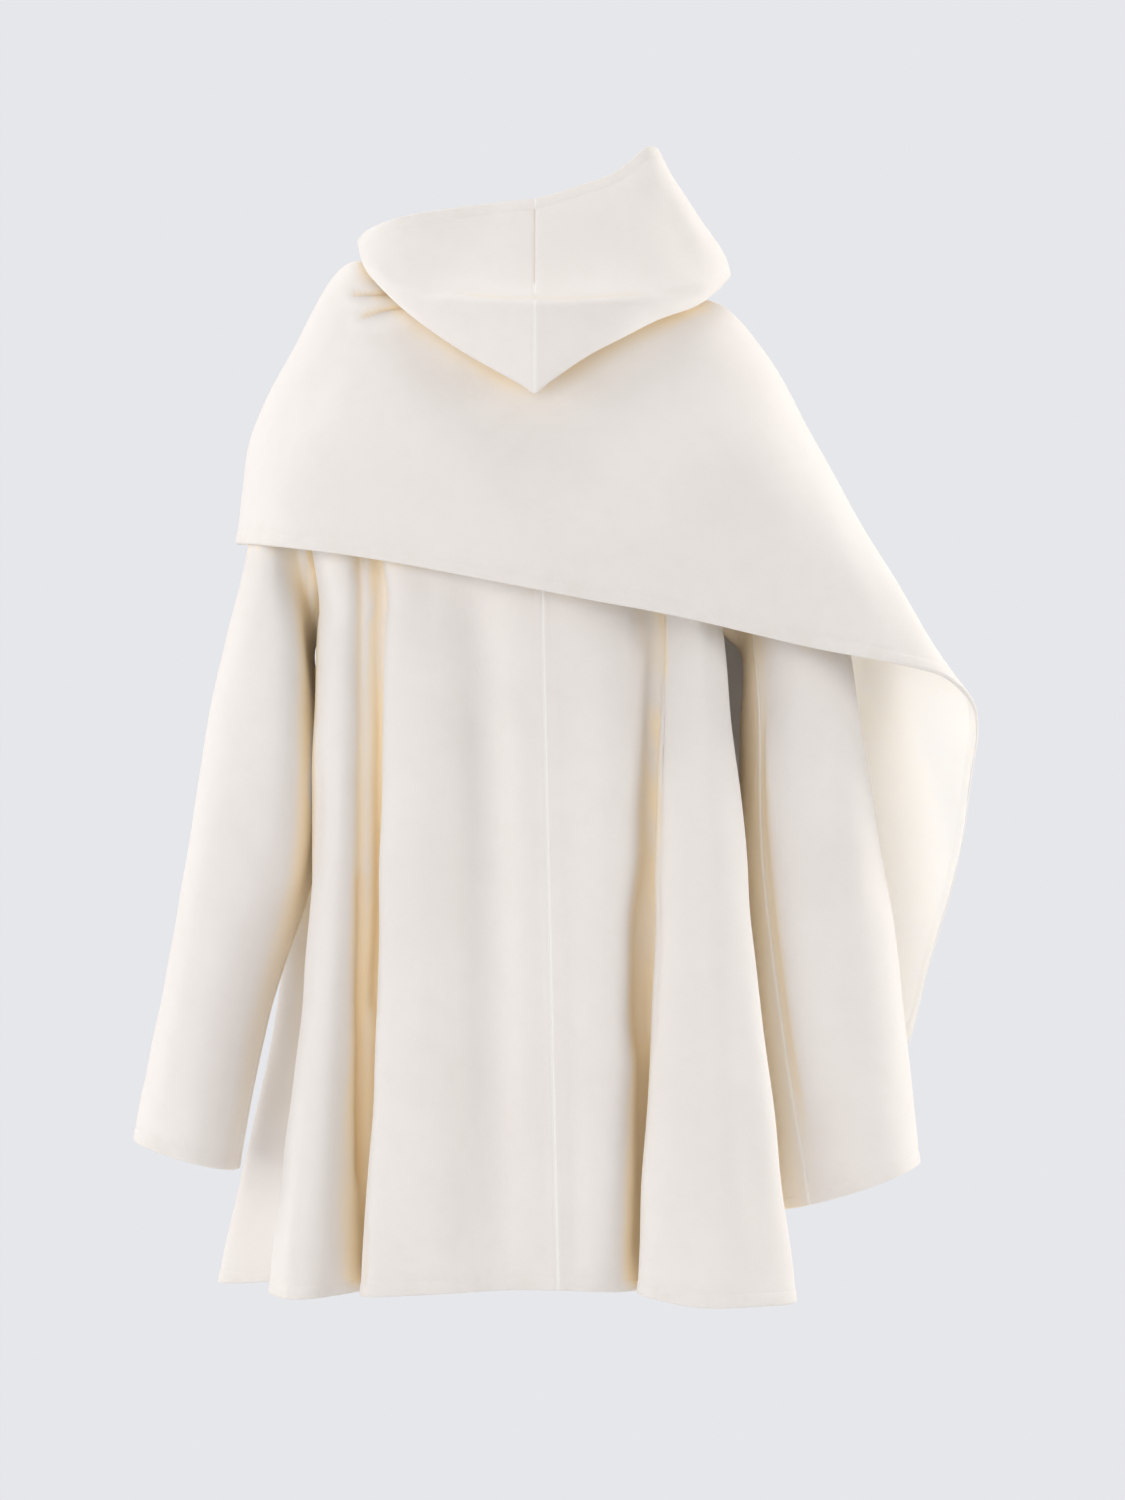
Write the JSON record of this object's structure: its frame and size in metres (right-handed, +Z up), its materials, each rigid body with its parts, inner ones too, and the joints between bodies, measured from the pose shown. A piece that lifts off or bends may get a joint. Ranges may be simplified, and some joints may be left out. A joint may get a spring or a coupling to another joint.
{
  "type": "hooded cape coat",
  "caption": "A-line wool coat in its worn shape, with long sleeves, a hood folded down at the back and a cape panel that wraps over the right arm.",
  "frame": {"origin": "middle of the neck opening, level with the nape of the neck, where the wearer's neck and shoulders hold the garment up", "axes": "+Z up along the wearer's body, +Y to the wearer's front, +X to the wearer's right; the picture looks at the back, along +Y"},
  "size_m": [0.6702, 0.3715, 0.909],
  "materials": {
    "wool": "brushed double-faced wool, matte"
  },
  "bodies": {
    "root": {"coat_back_left": "wool", "coat_back_right": "wool", "coat_front_left": "wool", "coat_front_right": "wool", "sleeve_left_top": "wool", "sleeve_left_under": "wool", "sleeve_right_top": "wool", "sleeve_right_under": "wool", "cape": "wool", "hood_left": "wool", "hood_right": "wool"}
  },
  "joints": []
}
